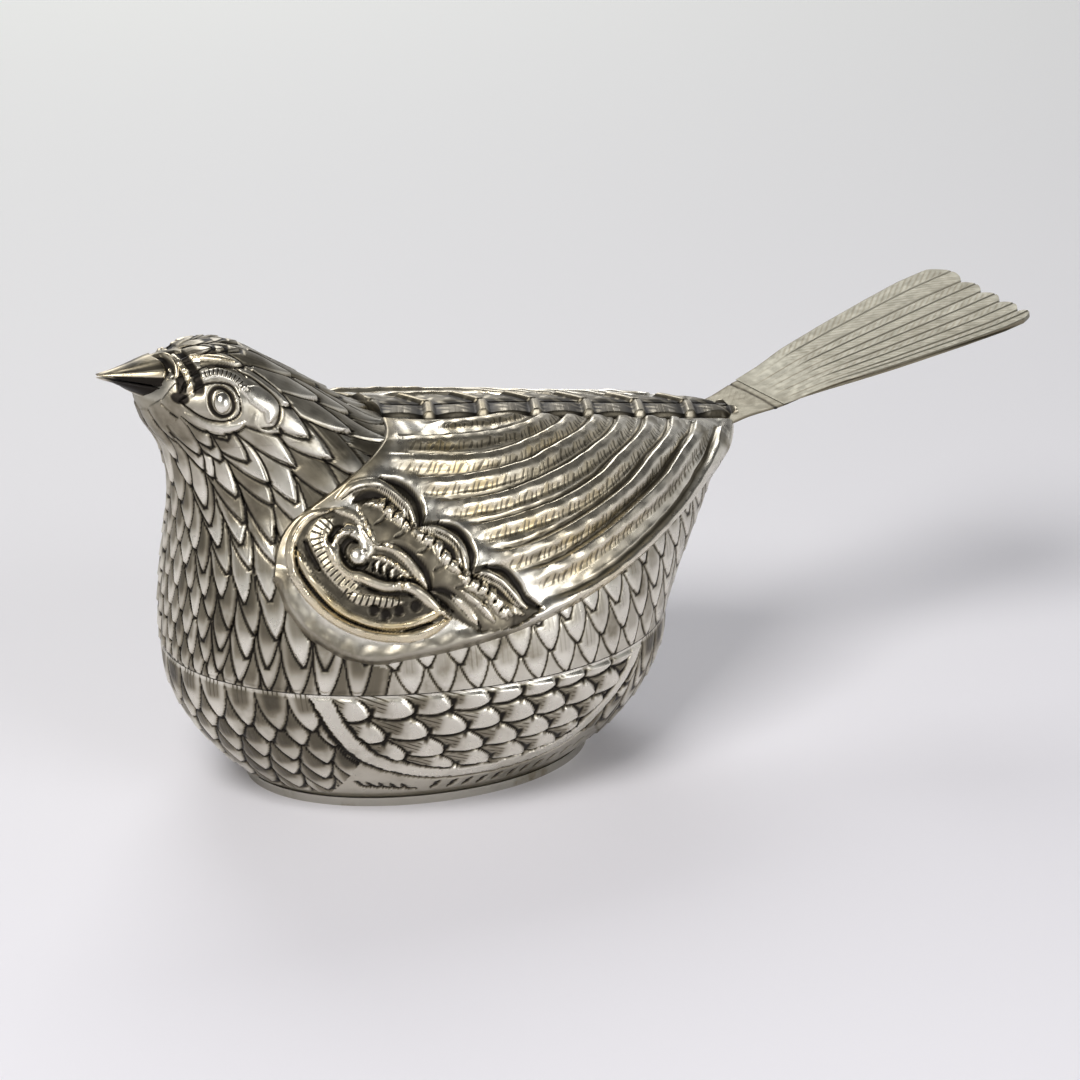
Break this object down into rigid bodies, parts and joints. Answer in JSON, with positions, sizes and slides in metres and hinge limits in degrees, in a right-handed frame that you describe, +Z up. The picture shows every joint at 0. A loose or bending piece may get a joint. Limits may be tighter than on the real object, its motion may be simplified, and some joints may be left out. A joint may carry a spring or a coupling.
{
  "type": "bird-shaped box",
  "caption": "Chased silver box shaped as a sitting bird, with a lift-off lid that carries the head, wings and fanned tail, and a bowl on a flat foot.",
  "frame": {"origin": "middle of the foot plate's flat underside", "axes": "+Z up, the bird faces -X, its left side is -Y"},
  "size_m": [0.1425, 0.0614, 0.065],
  "materials": {
    "aged_silver": "aged chased silver, dark in the grooves and bright on the high places",
    "gilt_silver": "aged silver with worn gilding in the hollows",
    "sheet_silver": "flat silver sheet, dull, with engraved feather lines"
  },
  "bodies": {
    "base": {"foot_plate": "aged_silver", "base_bowl": "aged_silver", "base_collar": "aged_silver"},
    "lid": {"lid_shell": "aged_silver", "head_shell": "aged_silver", "upper_beak": "gilt_silver", "lower_beak": "gilt_silver", "left_eye": "aged_silver", "right_eye": "aged_silver", "left_wing": "gilt_silver", "right_wing": "gilt_silver", "back_strap": "aged_silver", "tail_fan": "sheet_silver"}
  },
  "joints": [
    {"name": "lid_lift", "type": "slide", "parent": "base", "child": "lid", "axis": [0, 0, 1], "range_m": [0, 0.04]}
  ]
}
